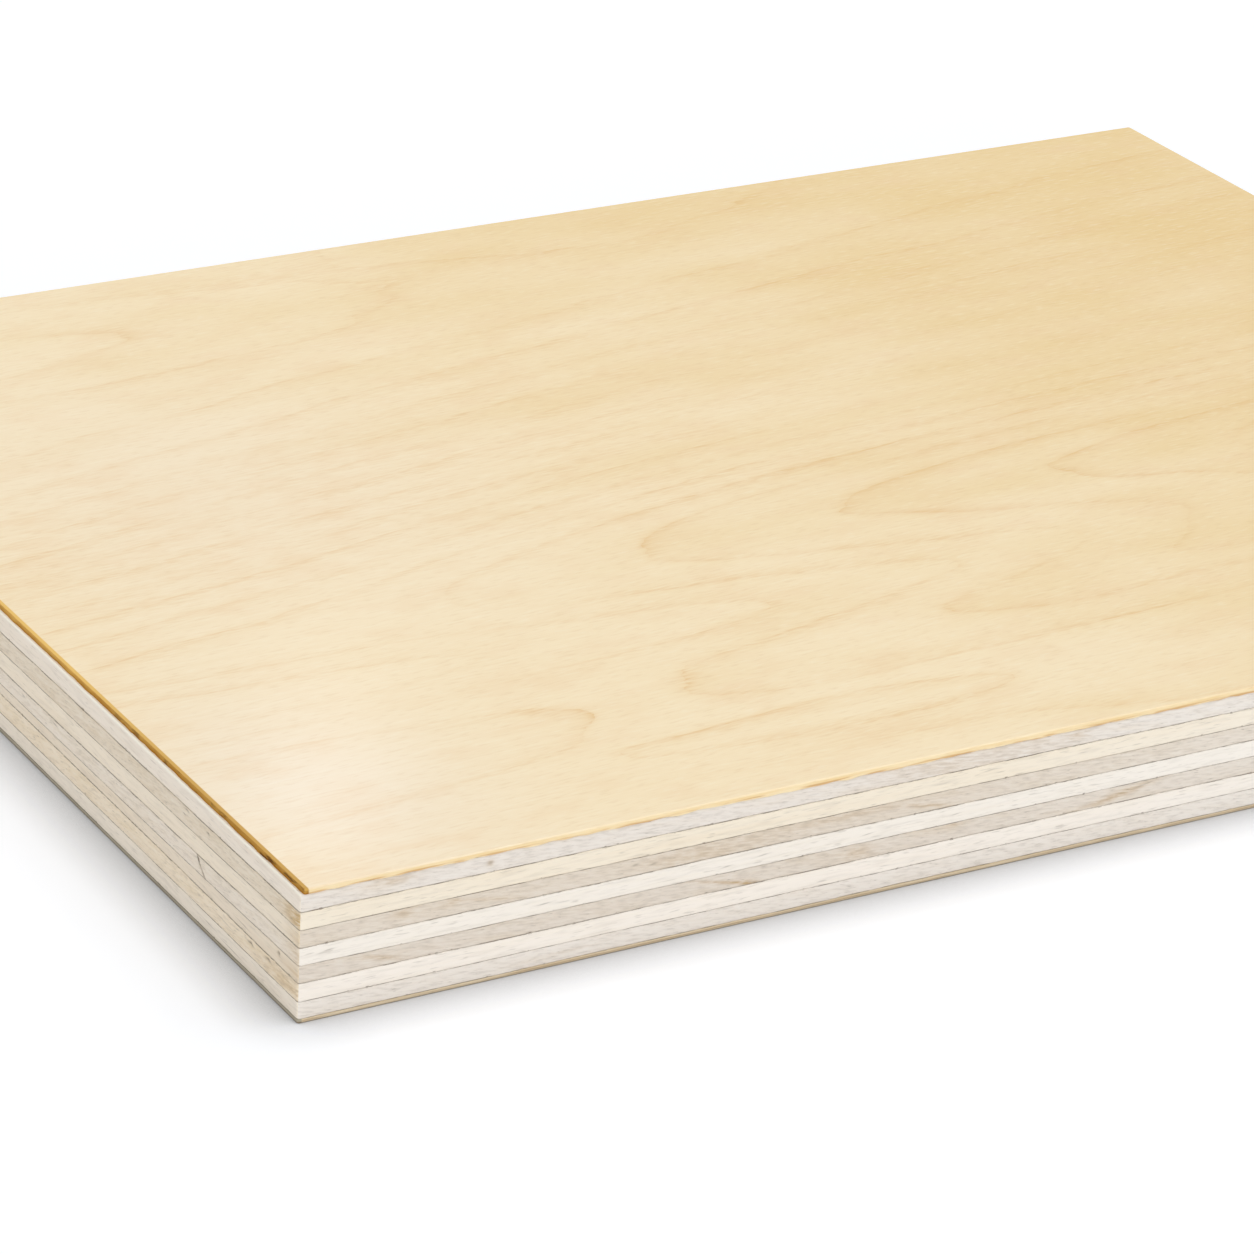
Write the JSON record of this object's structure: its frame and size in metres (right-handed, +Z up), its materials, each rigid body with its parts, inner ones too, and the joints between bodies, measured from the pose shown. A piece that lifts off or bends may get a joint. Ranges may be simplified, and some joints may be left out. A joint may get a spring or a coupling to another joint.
{
  "type": "plywood panel",
  "caption": "Flat rectangular offcut of veneer-core plywood with a pale hardwood face and sawn edges that show the crossed plies, for panels, shelves and boxes.",
  "frame": {"origin": "middle of the underside, on the surface that the panel lies on", "axes": "+X along the grain of the face veneer, the panel's longer side; +Y across that grain; +Z up out of the face veneer"},
  "size_m": [0.25, 0.19, 0.018],
  "materials": {
    "face_veneer": "satin",
    "cross_ply": "matte",
    "long_ply": "matte",
    "back_veneer": "matte"
  },
  "bodies": {
    "root": {"face_veneer": "face_veneer", "core_ply_1": "cross_ply", "core_ply_2": "long_ply", "core_ply_3": "cross_ply", "core_ply_4": "long_ply", "core_ply_5": "cross_ply", "core_ply_6": "long_ply", "core_ply_7": "cross_ply", "back_veneer": "back_veneer"}
  },
  "joints": []
}
